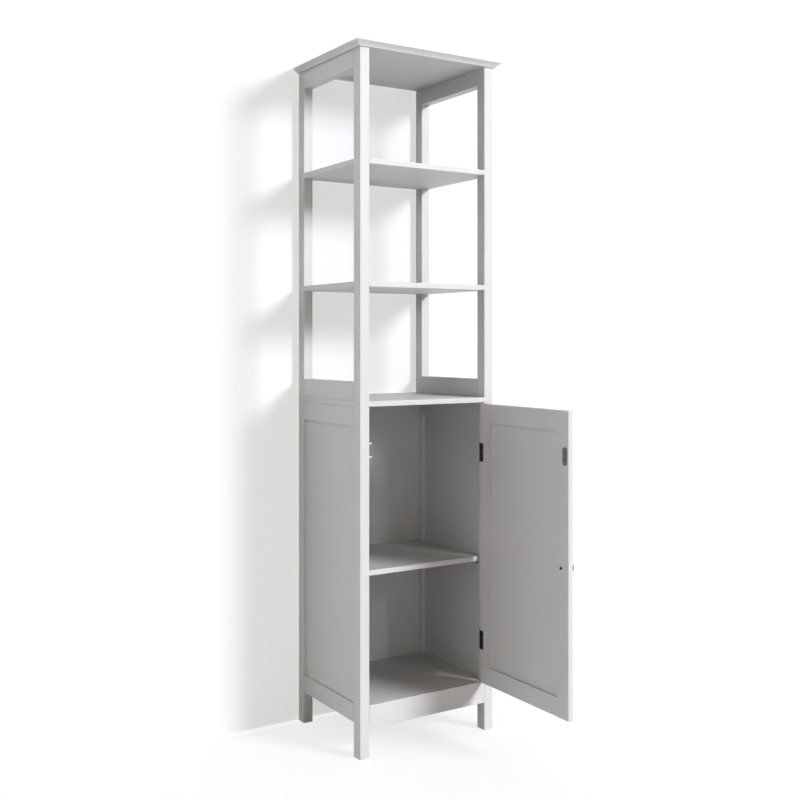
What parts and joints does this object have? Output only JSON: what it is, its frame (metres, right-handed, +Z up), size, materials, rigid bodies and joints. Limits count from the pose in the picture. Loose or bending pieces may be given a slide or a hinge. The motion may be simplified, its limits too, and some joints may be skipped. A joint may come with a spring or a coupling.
{
  "type": "tall bathroom cabinet",
  "caption": "Tall narrow cabinet: a panelled cupboard with a hinged framed door and an inner shelf below, open shelves between slim posts above, and a moulded top.",
  "frame": {"origin": "on the floor, under the middle of the cabinet's body (the top's overhang and the open door are outside that body)", "axes": "+Z up, -Y towards the front that the door closes, +X to the right as seen from the front; the door is stored open at a right angle to the front"},
  "size_m": [0.402, 0.6207, 1.6],
  "materials": {
    "painted_wood": "white satin paint on wood",
    "painted_panel": "white satin paint on fibreboard",
    "bare_beech": "bare beech",
    "dark_steel": "dark oxidised steel",
    "bright_steel": "zinc plated",
    "knob_chrome": "polished",
    "white_plastic": "moulded",
    "magnet": "sintered ferrite"
  },
  "bodies": {
    "cabinet": {"lower_front_left_post": "painted_wood", "lower_rear_left_post": "painted_wood", "lower_front_right_post": "painted_wood", "lower_rear_right_post": "painted_wood", "lower_left_bottom_rail": "painted_wood", "lower_left_top_rail": "painted_wood", "lower_right_bottom_rail": "painted_wood", "lower_right_top_rail": "painted_wood", "upper_front_left_post": "painted_wood", "upper_rear_left_post": "painted_wood", "upper_front_right_post": "painted_wood", "upper_rear_right_post": "painted_wood", "upper_left_bottom_rail": "painted_wood", "upper_left_top_rail": "painted_wood", "upper_right_bottom_rail": "painted_wood", "upper_right_top_rail": "painted_wood", "front_apron": "painted_wood", "cupboard_floor": "painted_wood", "inner_shelf": "painted_wood", "middle_board": "painted_wood", "low_open_shelf": "painted_wood", "high_open_shelf": "painted_wood", "top_board": "painted_wood", "lower_left_panel": "painted_panel", "lower_right_panel": "painted_panel", "back_panel": "painted_panel", "middle_tenons": "bare_beech", "top_tenons": "bare_beech", "shelf_pins": "bright_steel", "lower_hinge_post_leaf": "dark_steel", "upper_hinge_post_leaf": "dark_steel", "lower_hinge_pin": "dark_steel", "upper_hinge_pin": "dark_steel", "leg_screws": "dark_steel", "catch_housing": "white_plastic", "catch_magnet": "magnet", "catch_plates": "bright_steel"},
    "door": {"door_hinge_stile": "painted_wood", "door_latch_stile": "painted_wood", "door_bottom_rail": "painted_wood", "door_top_rail": "painted_wood", "door_panel": "painted_panel", "lower_hinge_door_leaf": "dark_steel", "upper_hinge_door_leaf": "dark_steel", "door_screws": "dark_steel", "door_knob": "knob_chrome", "knob_screw": "bright_steel", "strike_plate": "bright_steel"}
  },
  "joints": [
    {"name": "door_hinge", "type": "hinge", "parent": "cabinet", "child": "door", "pos_m": [0.1592, -0.153, 0.444], "axis": [0, 0, 1], "range_deg": [-90, 90]}
  ]
}
